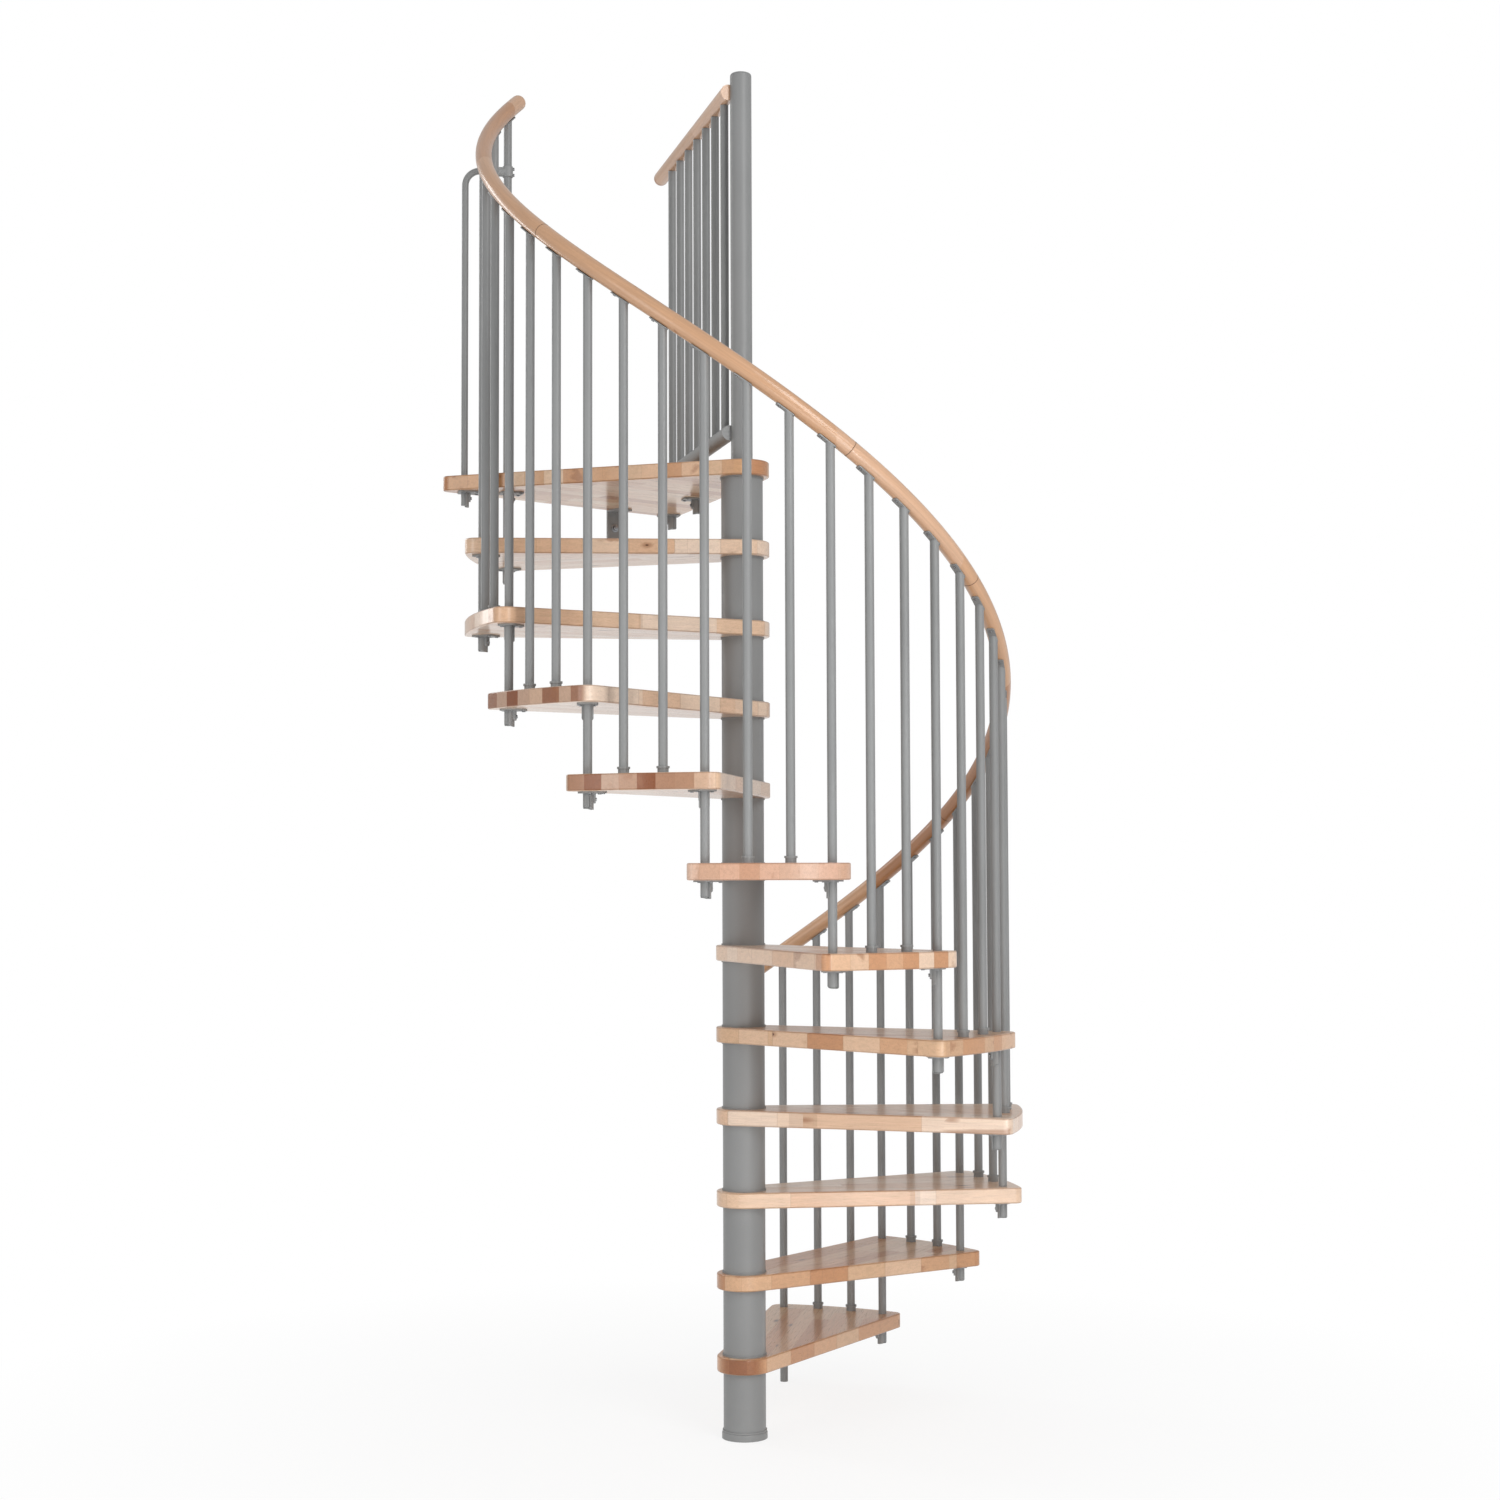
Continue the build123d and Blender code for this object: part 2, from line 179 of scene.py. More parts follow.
def woodFigure(tree, shader, along, across, through, offset, look, tone):
    # fibres, growth bands, flecks, brown heart and knots, the same for treads and rails
    def stretched(length, width):
        node = addNode(tree, "ShaderNodeCombineXYZ", {
            0: sums(tree, "DIVIDE", along, length), 1: sums(tree, "DIVIDE", across, width),
            2: sums(tree, "DIVIDE", through, width)})
        moved = addNode(tree, "ShaderNodeVectorMath", {0: node.outputs[0], 1: offset}, operation="ADD")
        return moved.outputs[0]

    fibre = addNode(tree, "ShaderNodeTexNoise", {
        "Vector": stretched(look["fibreLength"], look["fibreWidth"]), "Scale": 1.0, "Detail": 3.0})
    band = addNode(tree, "ShaderNodeTexNoise", {
        "Vector": stretched(look["ringWidth"] * look["ringStretch"], look["ringWidth"]), "Scale": 1.0,
        "Detail": 2.0, "Distortion": 0.7})
    fleck = addNode(tree, "ShaderNodeTexNoise", {
        "Vector": stretched(look["fleckLength"], look["fleckWidth"]), "Scale": 1.0, "Detail": 1.0})
    heart = addNode(tree, "ShaderNodeTexNoise", {
        "Vector": stretched(look["heartLength"], look["heartWidth"]), "Scale": 1.0, "Detail": 4.0})
    shade = ramp(tree, fibre.outputs["Fac"], [(0.3, 0.70), (0.65, 1.0)])
    tone = mixColours(tree, look["fibreStrength"], tone, shade, "MULTIPLY")
    shade = ramp(tree, band.outputs["Fac"], [(0.35, 0.80), (0.6, 1.0)])
    tone = mixColours(tree, look["bandStrength"], tone, shade, "MULTIPLY")
    mask = ramp(tree, fleck.outputs["Fac"], [(0.60, 0.0), (0.72, 1.0)])
    tone = tinted(tree, mask, look["fleckStrength"], tone, look["fleck"])
    mask = ramp(tree, heart.outputs["Fac"], [(0.63, 0.0), (0.70, 1.0)])
    tone = tinted(tree, mask, look["heartStrength"], tone, look["heart"])
    # here and there a small sound knot, dark inside with a brown rim
    cells = addNode(tree, "ShaderNodeTexVoronoi", {
        "Vector": stretched(look["knotEvery"], look["knotEvery"] / look["knotSlim"]), "Scale": 1.0,
        "Randomness": 1.0})
    size = look["knotSlim"] * look["knotRadius"] / look["knotEvery"]
    rim = addNode(tree, "ShaderNodeMapRange", {
        "Value": cells.outputs["Distance"], "From Min": size, "From Max": size * 2.2, "To Min": 1.0,
        "To Max": 0.0})
    core = sums(tree, "LESS_THAN", cells.outputs["Distance"], size)
    rare = sums(tree, "GREATER_THAN", addNode(tree, "ShaderNodeSeparateColor", {
        "Color": cells.outputs["Color"]}).outputs[0], look["knotRarity"])
    tone = tinted(tree, sums(tree, "MULTIPLY", rim.outputs[0], rare), look["knotRim"], tone, look["heart"])
    tone = tinted(tree, sums(tree, "MULTIPLY", core, rare), look["knotCore"], tone, look["knot"])
    # painted shade: faces that slant between upright and flat, the rounded edges, are painted darker
    normal = addNode(tree, "ShaderNodeNewGeometry").outputs["Normal"]
    upright = addNode(tree, "ShaderNodeSeparateXYZ", {0: normal}).outputs[2]
    slanted = sums(tree, "PINGPONG", sums(tree, "ABSOLUTE", upright), 0.5)
    mask = ramp(tree, sums(tree, "MULTIPLY", slanted, 2.0), [(0.25, 0.0), (0.7, 1.0)])
    tone = tinted(tree, mask, look["edgeShadeStrength"], tone, look["edge"])
    rough = sums(tree, "MULTIPLY_ADD", fibre.outputs["Fac"], 0.14, look["rough"] - 0.05)
    tree.links.new(rough, shader.inputs["Roughness"])
    bump = addNode(tree, "ShaderNodeBump", {
        "Height": fibre.outputs["Fac"], "Strength": 0.12, "Distance": 0.0003})
    tree.links.new(bump.outputs["Normal"], shader.inputs["Normal"])
    shader.inputs["Coat Weight"].default_value = look["coat"]
    shader.inputs["Coat Roughness"].default_value = look["coatRough"]
    tree.links.new(tone, shader.inputs["Base Color"])


def beechBlocks(name, turn, shift, look):
    # beech worktop board: finger-length blocks in strips, glued edge to edge and lacquered
    material, tree, shader = newMaterial(name)
    where = addNode(tree, "ShaderNodeTexCoord").outputs["Object"]
    laid = addNode(tree, "ShaderNodeMapping", {"Vector": where, "Rotation": (0.0, 0.0, -turn)})
    axes = addNode(tree, "ShaderNodeSeparateXYZ", {0: laid.outputs[0]})
    along, across, through = axes.outputs[0], axes.outputs[1], axes.outputs[2]
    strips = sums(tree, "ADD", sums(tree, "DIVIDE", across, look["stripWidth"]), shift)
    strip = sums(tree, "FLOOR", strips)
    slide = addNode(tree, "ShaderNodeTexWhiteNoise", {"W": strip}, noise_dimensions="1D")
    # each strip has its own block length, from short off-cuts to nearly whole boards
    spread = sums(tree, "MULTIPLY_ADD", addNode(tree, "ShaderNodeTexWhiteNoise", {
        "W": sums(tree, "ADD", strip, 31.7)}, noise_dimensions="1D").outputs["Value"],
        look["longest"] - look["shortest"], look["shortest"])
    length = sums(tree, "MULTIPLY", spread, look["blockLength"])
    blocks = sums(tree, "ADD", sums(tree, "DIVIDE", along, length),
                  sums(tree, "MULTIPLY", slide.outputs["Value"], 17.0))
    block = sums(tree, "FLOOR", blocks)
    cell = addNode(tree, "ShaderNodeCombineXYZ", {0: strip, 1: block, 2: shift})
    pick = addNode(tree, "ShaderNodeTexWhiteNoise", {"Vector": cell.outputs[0]}, noise_dimensions="3D")
    count = len(look["tones"])
    stops = [(i / count, tone) for i, tone in enumerate(look["tones"])]
    tone = ramp(tree, pick.outputs["Value"], stops, "CONSTANT")
    offset = addNode(tree, "ShaderNodeVectorMath", {0: pick.outputs["Color"], 1: (40.0, 40.0, 40.0)},
                     operation="MULTIPLY").outputs[0]
    # thin glue lines between strips and at block ends
    inStrip = sums(tree, "PINGPONG", strips, 0.5)
    inBlock = sums(tree, "PINGPONG", blocks, 0.5)
    lineA = sums(tree, "LESS_THAN", inStrip, look["glueWidth"] / look["stripWidth"])
    lineB = sums(tree, "LESS_THAN", inBlock, look["glueWidth"] / look["blockLength"])
    seam = sums(tree, "MAXIMUM", lineA, lineB)
    tone = tinted(tree, seam, look["glueStrength"], tone, look["glue"])
    # cut ends drink more lacquer than long grain, some blocks more than others
    normal = addNode(tree, "ShaderNodeNewGeometry").outputs["Normal"]
    grain = addNode(tree, "ShaderNodeCombineXYZ", {0: math.cos(turn), 1: math.sin(turn), 2: 0.0})
    facingEnd = addNode(tree, "ShaderNodeVectorMath", {
        0: normal, 1: grain.outputs[0]}, operation="DOT_PRODUCT")
    mask = ramp(tree, sums(tree, "ABSOLUTE", facingEnd.outputs["Value"]), [(0.55, 0.0), (0.85, 1.0)])
    thirst = sums(tree, "MULTIPLY", mask, sums(tree, "MULTIPLY_ADD", pick.outputs["Value"], 0.9, 0.35))
    tone = tinted(tree, thirst, look["endStrength"], tone, look["endTone"])
    woodFigure(tree, shader, along, across, through, offset, look, tone)
    return material


railLook = dict(
    beechLook, tones=("#c89c78", "#be8d67", "#d1a888", "#b27e57"), fibreStrength=0.34, heartStrength=0.4,
    blockLength=0.46, blockShift=0.261, rough=0.28, coat=0.4, knotRarity=0.97, edgeShadeStrength=0.0)
# the boards differ from tread to tread, as they come from different batches
paleLook = dict(
    beechLook, tones=("#e2c3a8", "#e5cab2", "#dfbd9f", "#ddb99b", "#e7cfba", "#d9b190"), endStrength=0.1)
warmLook = dict(
    beechLook, tones=("#d5ab86", "#cfa17b", "#dcb99a", "#c9966d", "#d3ad8a", "#c08b62"), endStrength=0.3)
blushLook = dict(
    beechLook, tones=("#d2a78e", "#dcbba6", "#c99a7e", "#e0c6b4", "#d6af97", "#c18e70"), endStrength=0.3)
landingLook = dict(
    beechLook, tones=("#dcb491", "#c9966c", "#e3c4a5", "#b9825a", "#d4a67d", "#e0bd9b"), endStrength=0.2)
# on T8 and T9 the end-grain faces are drawn much darker: part of this is darker end grain, and part is
# painted shade on their outer faces, which turn away from the key lamp
darkEndAndShadeLook = dict(paleLook, endStrength=0.88, endTone="#82451a")
darkWarmLook = dict(warmLook, endStrength=0.88, endTone="#82451a")


def railTone(tree, along, look):
    # tone and pattern offset of each glued-up length of the rail
    blocks = sums(tree, "MULTIPLY_ADD", along, 1 / look["blockLength"], look["blockShift"])
    block = sums(tree, "FLOOR", blocks)
    pick = addNode(tree, "ShaderNodeTexWhiteNoise", {"W": block}, noise_dimensions="1D")
    count = len(look["tones"])
    stops = [(i / count, tone) for i, tone in enumerate(look["tones"])]
    tone = ramp(tree, pick.outputs["Value"], stops, "CONSTANT")
    offset = addNode(tree, "ShaderNodeVectorMath", {0: pick.outputs["Color"], 1: (30.0, 30.0, 30.0)},
                     operation="MULTIPLY").outputs[0]
    return tone, offset


def beechRail(name, look):
    # bent beech rail: the grain follows the climb around the column
    material, tree, shader = newMaterial(name)
    where = addNode(tree, "ShaderNodeTexCoord").outputs["Object"]
    # turned so that the angle's jump falls behind, where there is no rail
    laid = addNode(tree, "ShaderNodeMapping", {"Vector": where, "Rotation": (0.0, 0.0, math.radians(63))})
    axes = addNode(tree, "ShaderNodeSeparateXYZ", {0: laid.outputs[0]})
    x, y, z = axes.outputs[0], axes.outputs[1], axes.outputs[2]
    angle = sums(tree, "ARCTAN2", y, x)
    run = stair["balusterLine"] / math.cos(railSlope())
    along = sums(tree, "MULTIPLY", angle, run)
    squares = sums(tree, "ADD", sums(tree, "MULTIPLY", x, x), sums(tree, "MULTIPLY", y, y))
    across = sums(tree, "SQRT", squares)
    climb = stair["rise"] / math.radians(stair["stepAngle"])
    through = sums(tree, "MULTIPLY_ADD", angle, climb, z)
    tone, offset = railTone(tree, along, look)
    woodFigure(tree, shader, along, across, through, offset, look, tone)
    return material


def beechStraight(name, turn, look):
    # the landing's straight rail, grain along its length
    material, tree, shader = newMaterial(name)
    where = addNode(tree, "ShaderNodeTexCoord").outputs["Object"]
    laid = addNode(tree, "ShaderNodeMapping", {"Vector": where, "Rotation": (0.0, 0.0, -turn)})
    axes = addNode(tree, "ShaderNodeSeparateXYZ", {0: laid.outputs[0]})
    along = axes.outputs[0]
    tone, offset = railTone(tree, along, look)
    woodFigure(tree, shader, along, axes.outputs[1], axes.outputs[2], offset, look, tone)
    return material


def plain(name, look):
    # small zinc, plastic or cork pieces, with a little unevenness
    material, tree, shader = newMaterial(name)
    where = addNode(tree, "ShaderNodeTexCoord").outputs["Object"]
    grain = addNode(tree, "ShaderNodeTexNoise", {
        "Vector": where, "Scale": 1 / look["grainSize"], "Detail": 3.0})
    tone = ramp(tree, grain.outputs["Fac"], [(0.35, look["dark"]), (0.65, look["light"])])
    tree.links.new(tone, shader.inputs["Base Color"])
    rough = sums(tree, "MULTIPLY_ADD", grain.outputs["Fac"], 0.12, look["rough"])
    tree.links.new(rough, shader.inputs["Roughness"])
    shader.inputs["Metallic"].default_value = look["metallic"]
    bump = addNode(tree, "ShaderNodeBump", {
        "Height": grain.outputs["Fac"], "Strength": 0.15, "Distance": 0.0002})
    tree.links.new(bump.outputs["Normal"], shader.inputs["Normal"])
    return material


zincLook = {"dark": "#8d8f92", "light": "#a7a9ac", "grainSize": 0.004, "rough": 0.32, "metallic": 1.0}
plugLook = {"dark": "#767776", "light": "#838483", "grainSize": 0.003, "rough": 0.5, "metallic": 0.0}
corkLook = {"dark": "#4a3324", "light": "#5c4230", "grainSize": 0.002, "rough": 0.8, "metallic": 0.0}

steel = powderCoat("powderCoatedSteel", steelLook)
fittingSteelLightened = powderCoat("powderCoatedFittingsLightened", fittingLitLook)
zinc = plain("zincPlatedScrew", zincLook)
plugPlastic = plain("greyPolyethylene", plugLook)
jointDark = plain("darkCork", corkLook)
railBeech = beechRail("lacqueredBentBeech", railLook)
guardBeech = beechStraight("lacqueredStraightBeech", math.radians(landingSpots["guardTurn"]), railLook)
print("materials made")


# finishes of the stair's own nodes


def dress(node, material):
    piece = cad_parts[node]
    piece.data.materials.clear()
    piece.data.materials.append(material)


# which way the strips lie in each tread: 0 along the middle, 12.7 along one edge
stripTurns = {1: 12.7, 2: 12.7, 3: -12.7, 4: -11, 5: 12.7, 6: 9, 7: 0, 8: 0, 9: -6, 10: 4, 11: -12.7}
# which batch of boards each tread has in the photo
treadLooks = {1: darkWarmLook, 2: warmLook, 3: paleLook, 4: paleLook, 5: warmLook, 6: beechLook,
              7: blushLook, 8: darkEndAndShadeLook, 9: darkEndAndShadeLook, 10: paleLook, 11: paleLook}
# shifts that give each board its own pattern, and the way the landing's strips lie
boards = {"treadShift": 0.37, "landingShift": 5.3, "landingTurn": 37.9}
for k in range(1, stair["treads"] + 1):
    turn = angleAt(k - 0.5) + math.radians(stripTurns[k])
    dress(f"tread_{k:02d}", beechBlocks(f"beechTread{k:02d}", turn, boards["treadShift"] * k, treadLooks[k]))
landingTurn = math.radians(boards["landingTurn"])
dress("landing", beechBlocks("beechLanding", landingTurn, boards["landingShift"], landingLook))
dress("guard_rail", guardBeech)
for number in range(1, 6):
    dress(f"handrail_{number}", railBeech)
steelNodes = ("guard_tube", "guard_balusters", "hook_tube", "base_flange", "centre_pole", "pole_cap",
              "column_spacers", "landing_washer")
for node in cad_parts:
    if node.startswith("balusters_") or node in steelNodes:
        dress(node, steel)
    # brackets and clamps get the lighter copy of the powder coat, which is painted light
    if node.startswith("brackets_") or node in ("tube_clamp", "floor_bracket"):
        dress(node, fittingSteelLightened)
print("nodes dressed")


# modelling helpers


def freshStart():
    if bpy.context.object and bpy.context.object.mode != "OBJECT":
        bpy.ops.object.mode_set(mode="OBJECT")
    bpy.ops.object.select_all(action="DESELECT")


def pickFaces(piece, test):
    # select by place or normal, from object mode
    bpy.ops.object.mode_set(mode="OBJECT")
    for polygon in piece.data.polygons:
        polygon.select = test(polygon)
    bpy.ops.object.mode_set(mode="EDIT")
    bpy.ops.mesh.select_mode(type="FACE")


def startEdit(piece):
    bpy.context.view_layer.objects.active = piece
    bpy.ops.object.mode_set(mode="EDIT")
    bpy.ops.mesh.select_all(action="DESELECT")
    bpy.ops.object.mode_set(mode="OBJECT")
    for group in (piece.data.vertices, piece.data.edges, piece.data.polygons):
        for item in group:
            item.select = False


def bevelled(piece, width, segments=2, angle=40):
    modifier = piece.modifiers.new("bevel", "BEVEL")
    modifier.width = width
    modifier.segments = segments
    modifier.limit_method = "ANGLE"
    modifier.angle_limit = math.radians(angle)
    bpy.context.view_layer.objects.active = piece
    bpy.ops.object.modifier_apply(modifier=modifier.name)


def smooth(piece, angle=35):
    freshStart()
    piece.select_set(True)
    bpy.context.view_layer.objects.active = piece
    bpy.ops.object.shade_smooth_by_angle(angle=math.radians(angle))


def placed(master, places, name, material):
    # one modelled piece, copied to its places and joined
    copies = []
    for i, place in enumerate(places):
        copy = master.copy()
        copy.data = master.data.copy()
        copy.data.transform(place)
        copy.name = f"{name}.{i}"
        bpy.context.collection.objects.link(copy)
        copies.append(copy)
    freshStart()
    for copy in copies:
        copy.select_set(True)
    bpy.context.view_layer.objects.active = copies[0]
    bpy.ops.object.join()
    piece = bpy.context.object
    piece.name = name
    piece.data.name = name
    piece.data.materials.clear()
    piece.data.materials.append(material)
    bpy.data.objects.remove(master)
    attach(piece, "root")
    print("added", name, len(piece.data.polygons), "faces")
    return piece


def facing(place, outward, turn=0.0):
    # matrix that stands a piece's +Z along outward
    spin = Vector((0, 0, 1)).rotation_difference(Vector(outward)).to_matrix().to_4x4()
    return Matrix.Translation(Vector(place)) @ spin @ Matrix.Rotation(turn, 4, "Z")


# how finely a screw head is drawn, and its socket's depth as a share of its height
headShape = {"sides": 18, "socketDepth": 0.55}


def screwHead(size):
    # pan head with a sunk round socket, seat at z = 0
    freshStart()
    bpy.ops.mesh.primitive_cylinder_add(
        vertices=headShape["sides"], radius=size["head"] / 2, depth=size["high"],
        location=(0, 0, size["high"] / 2))
    screw = bpy.context.object
    bpy.ops.object.transform_apply(location=True, rotation=True, scale=True)
    startEdit(screw)
    pickFaces(screw, lambda face: face.normal.z > 0.9)
    bpy.ops.mesh.inset(thickness=size["head"] / 2 - size["socket"] / 2)
    deep = -size["high"] * headShape["socketDepth"]
    bpy.ops.mesh.extrude_region_move(TRANSFORM_OT_translate={"value": (0, 0, deep)})
    bpy.ops.mesh.select_all(action="DESELECT")
    bpy.ops.object.mode_set(mode="OBJECT")
    bevelled(screw, size["round"], 2)
    smooth(screw)
    return screw


# four screws in each bracket plate, under the treads and the landing

hook = landingSpots["hook"]
# plate thickness, and how far each plate is turned from the line to the column
bracketPlate = {"thick": 0.004, "turn": 38, "hookTurn": 12, "guardTurn": -165}
bracketScrews = {"head": 0.009, "high": 0.0022, "socket": 0.004, "round": 0.0007,
                 "spread": 0.016, "side": 0.0196, "out": 0.034, "twist": 0.3}


def guardPostPlaces(z):
    return [Vector((landingSpots["guardLineX"] + landingSpots["guardSlant"] * y, y, z))
            for y in landingSpots["guardPosts"]]


def bracketPlaces():
    # same corners and turns as the plates under each tread
    turn = bracketPlate["turn"]
    places = []
    for k in range(1, stair["treads"] + 1):
        under = k * stair["rise"] - stair["treadThick"]
        places.append((placeAt(k - 1, under), angleAt(k - 1) + math.radians(180 + turn)))
        places.append((placeAt(k, under), angleAt(k) + math.radians(180 - turn)))
    under = stair["landingTop"] - stair["treadThick"]
    last = stair["treads"]
    places.append((placeAt(last, under), angleAt(last) + math.radians(180 + turn)))
    places.append((Vector((hook[0], hook[1], under)), math.radians(bracketPlate["hookTurn"])))
    for post in guardPostPlaces(under):
        places.append((post, math.radians(bracketPlate["guardTurn"])))
    return places


screwPlaces = []
for centre, toward in bracketPlaces():
    inward = Vector((math.cos(toward), math.sin(toward), 0))
    side = Vector((-inward.y, inward.x, 0))
    out, spread, flank = bracketScrews["out"], bracketScrews["spread"], bracketScrews["side"]
    for a, b in ((out, spread), (out, -spread), (0.0, flank), (0.0, -flank)):
        place = centre + inward * a + side * b - Vector((0, 0, bracketPlate["thick"]))
        screwPlaces.append(facing(place, (0, 0, -1), bracketScrews["twist"] * len(screwPlaces)))
placed(screwHead(bracketScrews), screwPlaces, "bracketScrews", zinc)

# clamping screw in each bracket's rib

# the hook tube is thinner than a baluster, so its rib's face lies nearer
ribScrews = {"head": 0.0085, "high": 0.0036, "socket": 0.0042, "round": 0.0008,
             "face": 0.0183, "down": 0.0185, "hookNearer": 0.002}
ribPlaces = []
for centre, toward in bracketPlaces():
    inward = Vector((math.cos(toward), math.sin(toward), 0))
    atHook = abs(centre.x - hook[0]) < 0.001
    face = ribScrews["face"] - (ribScrews["hookNearer"] if atHook else 0)
    ribPlaces.append(facing(centre + inward * face - Vector((0, 0, ribScrews["down"])), inward))
placed(screwHead(ribScrews), ribPlaces, "ribScrews", zinc)

# screws that hold the rail to each baluster's tab

tabScrews = {"head": 0.008, "high": 0.0024, "socket": 0.0038, "round": 0.0007,
             "uphill": 0.012, "tab": 0.0242, "perTread": 3}
tabPlaces = []
slope = railSlope()
for i in range(stair["treads"] * tabScrews["perTread"] + 1):
    s = i / tabScrews["perTread"]
    a = angleAt(s)
    tangent = Vector((math.sin(a), -math.cos(a), 0))
    uphill = tangent * math.cos(slope) + Vector((0, 0, math.sin(slope)))
    outward = tangent * math.sin(slope) - Vector((0, 0, math.cos(slope)))
    centre = placeAt(s, stair["railHeight"] + s * stair["rise"])
    tabPlaces.append(facing(centre + uphill * tabScrews["uphill"] + outward * tabScrews["tab"], outward))
placed(screwHead(tabScrews), tabPlaces, "railTabScrews", zinc)

# plugs in the cut ends of the balusters

endPlug = {"radius": 0.0104, "thick": 0.003, "round": 0.0014, "rim": 0.0028, "sunk": 0.0005, "sides": 28}


def plugMaster(size):
    # round plug with a rolled rim and a slightly sunk middle
    freshStart()
    bpy.ops.mesh.primitive_cylinder_add(
        vertices=size["sides"], radius=size["radius"], depth=size["thick"],
        location=(0, 0, size["thick"] / 2))
    plug = bpy.context.object
    bpy.ops.object.transform_apply(location=True, rotation=True, scale=True)
    startEdit(plug)
    pickFaces(plug, lambda face: face.normal.z > 0.9)
    bpy.ops.mesh.inset(thickness=size["rim"])
    bpy.ops.transform.translate(value=(0, 0, -size["sunk"]))
    bpy.ops.mesh.select_all(action="DESELECT")
    bpy.ops.object.mode_set(mode="OBJECT")
    bevelled(plug, size["round"], 3, 60)
    smooth(plug)
    return plug


plugPlaces = []
drop = stair["treadThick"] + stair["stubBelow"]
for k in range(1, stair["treads"] + 1):
    plugPlaces.append(facing(placeAt(k, k * stair["rise"] - drop), (0, 0, -1)))
for post in guardPostPlaces(stair["landingTop"] - drop):
    plugPlaces.append(facing(post, (0, 0, -1)))
placed(plugMaster(endPlug), plugPlaces, "balusterPlugs", plugPlastic)

# dark joint rings between the rail's lengths

# joints in degrees climbed from the first corner
railJoint = {"proud": 0.0002, "thick": 0.0015, "round": 0.0001, "sides": 44,
             "joints": (46.5, 114.4, 148.2, 216.1)}


def railHeading(turned):
    # uphill direction, clockwise seen from above
    a = angleAt(turned / stair["stepAngle"])
    return Vector((math.sin(a) * math.cos(slope), -math.cos(a) * math.cos(slope), math.sin(slope)))


freshStart()
bpy.ops.mesh.primitive_cylinder_add(
    vertices=railJoint["sides"], radius=stair["railRadius"] + railJoint["proud"], depth=railJoint["thick"])
ringMaster = bpy.context.object
bpy.ops.object.transform_apply(location=True, rotation=True, scale=True)
bevelled(ringMaster, railJoint["round"], 2)
smooth(ringMaster)
jointPlaces = []
for turned in railJoint["joints"]:
    s = turned / stair["stepAngle"]
    centre = placeAt(s, stair["railHeight"] + s * stair["rise"])
    jointPlaces.append(facing(centre, railHeading(turned)))
placed(ringMaster, jointPlaces, "railJointRings", jointDark)

# hexagon bolts in the floor bracket

hexagonBolt = {"head": 0.016, "high": 0.006, "round": 0.0008, "down": (0.05, 0.095), "plate": 0.005,
               "washer": 0.012, "washerThick": 0.0016, "washerRound": 0.0004, "washerSides": 24}


def hexBolt(size):
    # hexagon head on a round washer
    freshStart()
    bpy.ops.mesh.primitive_cylinder_add(
        vertices=size["washerSides"], radius=size["washer"], depth=size["washerThick"],
        location=(0, 0, size["washerThick"] / 2))
    bolt = bpy.context.object
    bpy.ops.object.transform_apply(location=True, rotation=True, scale=True)
    bevelled(bolt, size["washerRound"], 2)
    freshStart()
    bpy.ops.mesh.primitive_cylinder_add(
        vertices=6, radius=size["head"] / 2, depth=size["high"],
        location=(0, 0, size["washerThick"] + size["high"] / 2))
    head = bpy.context.object
    bpy.ops.object.transform_apply(location=True, rotation=True, scale=True)
    bevelled(head, size["round"], 2, 20)
    bolt.select_set(True)
    head.select_set(True)
    bpy.context.view_layer.objects.active = bolt
    bpy.ops.object.join()
    smooth(bolt)
    return bolt


cornerLeft = Vector(landingSpots["cornerLeft"])
edgeRun = Vector(landingSpots["cornerRight"]) - cornerLeft
outwardEdge = Vector((-edgeRun.y, edgeRun.x, 0)).normalized()
bracketTop = cornerLeft + edgeRun * landingSpots["bracketAlong"]
bracketTop.z = stair["landingTop"] - stair["treadThick"]
boltPlaces = []
for down in hexagonBolt["down"]:
    place = bracketTop - outwardEdge * hexagonBolt["plate"] - Vector((0, 0, down))
    boltPlaces.append(facing(place, -outwardEdge))
placed(hexBolt(hexagonBolt), boltPlaces, "floorBracketBolts", zinc)

# two screws in the clamp that holds the hook tube to the last baluster

clampScrew = {"head": 0.0085, "high": 0.0042, "socket": 0.0042, "round": 0.0008,
              "collar": 0.0141, "apart": 0.017}
last = placeAt(11, hook[2])
awayFromHook = (last - Vector(hook)).normalized()
clampPlaces = []
for side in (-0.5, 0.5):
    up = Vector((0, 0, side * clampScrew["apart"]))
    clampPlaces.append(facing(last + awayFromHook * clampScrew["collar"] + up, awayFromHook))
placed(screwHead(clampScrew), clampPlaces, "clampScrews", zinc)


# studio

studio = {
    "floor": "#f6f6f6", "floorRough": 0.9, "floorSize": 60, "floorPlace": (0, 8, -0.001), "world": 0.60,
    # the floor glows white except near the stair, where its shadow shows
    "glowStart": 0.7, "glowEnd": 2.4, "glowNear": 0.82,
}

# where each lamp stands, what it aims at, its size in metres and its power in watts
lamps = {
    "keyLamp": ((2.9, -4.4, 4.6), (0, 0, 1.6), (1.6, 3.0), 92.0),
    "fillLamp": ((-4.0, -3.6, 2.6), (0, 0, 1.6), (2.0, 3.0), 38.0),
    "stripLamp": ((1.5, -3.9, 1.9), (0, 0, 1.9), (0.4, 4.0), 34.0),
    "lowLamp": ((0.5, -3.6, 0.3), (0, 0, 2.4), (4.0, 1.0), 29.0),
    "rimLamp": ((-3.4, 2.2, 3.6), (0, 0, 2.6), (0.8, 2.6), 26.0),
}


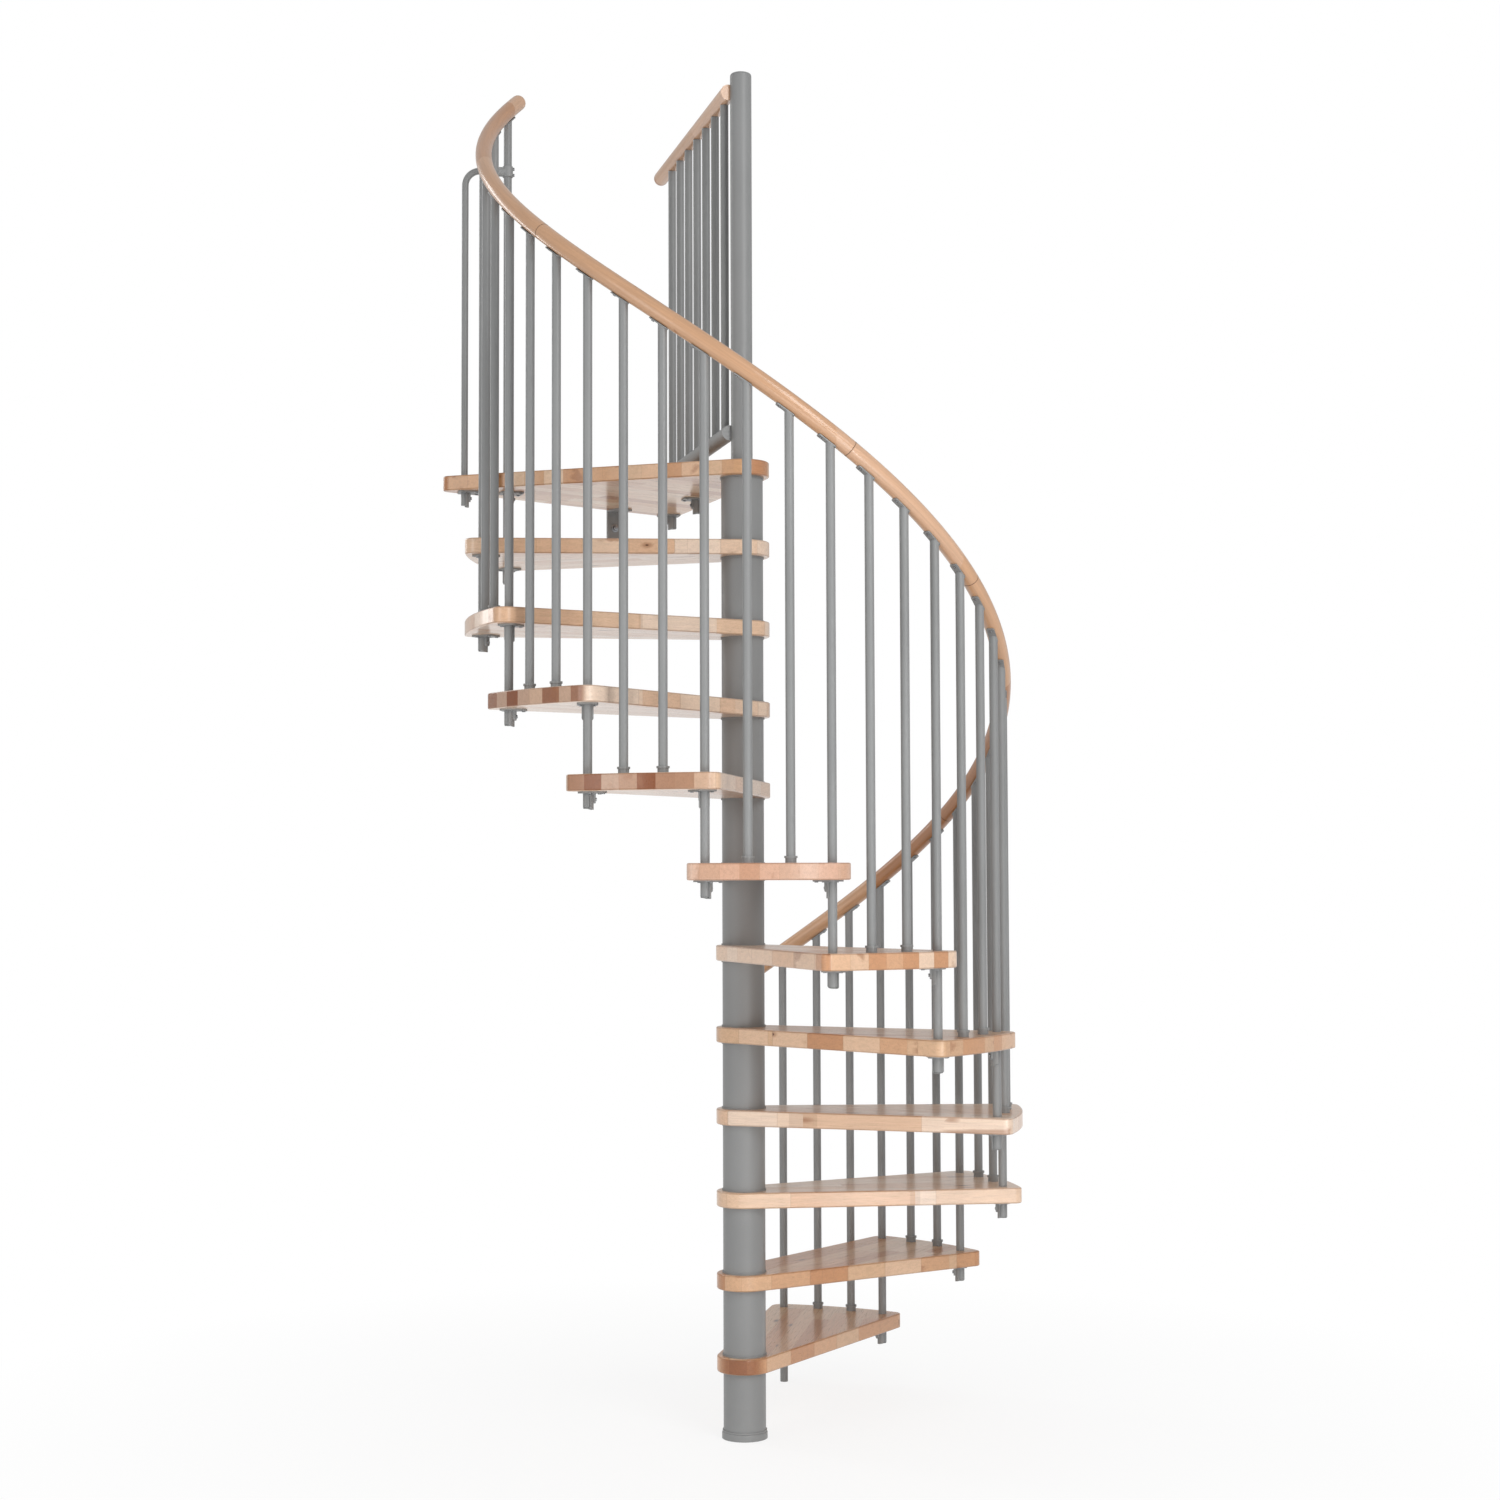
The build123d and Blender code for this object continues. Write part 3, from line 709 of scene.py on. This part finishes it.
def paleFloor():
    freshStart()
    bpy.ops.mesh.primitive_plane_add(size=studio["floorSize"], location=studio["floorPlace"])
    floor = bpy.context.object
    floor.name = "studioFloor"
    material, tree, shader = newMaterial("paleFloor")
    shader.inputs["Base Color"].default_value = linear(studio["floor"])
    shader.inputs["Roughness"].default_value = studio["floorRough"]
    path = addNode(tree, "ShaderNodeLightPath")
    glow = addNode(tree, "ShaderNodeEmission", {"Color": (1.0, 1.0, 1.0, 1.0), "Strength": 1.0})
    where = addNode(tree, "ShaderNodeTexCoord").outputs["Object"]
    stairFoot = (0.0, -float(studio["floorPlace"][1]), 0.0)
    far = addNode(tree, "ShaderNodeVectorMath", {0: where, 1: stairFoot}, operation="DISTANCE")
    fade = addNode(tree, "ShaderNodeMapRange", {
        "Value": far.outputs["Value"], "From Min": studio["glowStart"], "From Max": studio["glowEnd"],
        "To Min": studio["glowNear"], "To Max": 1.0})
    direct = sums(tree, "MAXIMUM", path.outputs["Is Camera Ray"], path.outputs["Is Glossy Ray"])
    seen = sums(tree, "MULTIPLY", direct, fade.outputs[0])
    mixed = addNode(tree, "ShaderNodeMixShader", {0: seen, 1: shader.outputs[0], 2: glow.outputs[0]})
    tree.links.new(mixed.outputs[0], tree.nodes["Material Output"].inputs["Surface"])
    floor.data.materials.append(material)


def whiteWorld():
    world = bpy.data.worlds.new("studioWorld")
    bpy.context.scene.world = world
    world.use_nodes = True
    tree = world.node_tree
    ground = tree.nodes["Background"]
    ground.inputs["Color"].default_value = (1, 1, 1, 1)
    ground.inputs["Strength"].default_value = studio["world"]
    path = addNode(tree, "ShaderNodeLightPath")
    white = addNode(tree, "ShaderNodeBackground", {"Color": (1.0, 1.0, 1.0, 1.0), "Strength": 1.0})
    mixed = addNode(tree, "ShaderNodeMixShader", {0: path.outputs["Is Camera Ray"], 1: ground.outputs[0],
                                                  2: white.outputs[0]})
    tree.links.new(mixed.outputs[0], tree.nodes["World Output"].inputs["Surface"])


def softLamp(name, place, aim, size, power):
    lamp = bpy.data.lights.new(name, "AREA")
    lamp.shape = "RECTANGLE"
    lamp.size = size[0]
    lamp.size_y = size[1]
    lamp.energy = power
    holder = bpy.data.objects.new(name, lamp)
    bpy.context.collection.objects.link(holder)
    holder.location = place
    holder.rotation_euler = (Vector(aim) - Vector(place)).to_track_quat("-Z", "Y").to_euler()


paleFloor()
whiteWorld()
for name, (place, aim, size, power) in lamps.items():
    softLamp(name, place, aim, size, power)

# camera

# the photo's own view: angles in radians, focal length in pixels of its 1500
view = {"place": (0.0, -6.1328, 1.44935), "pitch": 0.05166, "yaw": 0.00307, "roll": -0.00331,
        "focal": 2356.42, "pixels": 1500, "sensor": 36}
cameraData = bpy.data.cameras.new("photoCamera")
cameraData.sensor_width = view["sensor"]
cameraData.sensor_fit = "HORIZONTAL"
cameraData.lens = view["sensor"] * view["focal"] / view["pixels"]
camera = bpy.data.objects.new("photoCamera", cameraData)
bpy.context.collection.objects.link(camera)
aimed = Matrix.Rotation(-view["yaw"], 4, "Z") @ Matrix.Rotation(math.pi / 2 + view["pitch"], 4, "X")
camera.matrix_world = Matrix.Translation(view["place"]) @ aimed @ Matrix.Rotation(view["roll"], 4, "Z")
bpy.context.scene.camera = camera
bpy.context.scene.view_settings.view_transform = "Standard"
print("studio set")
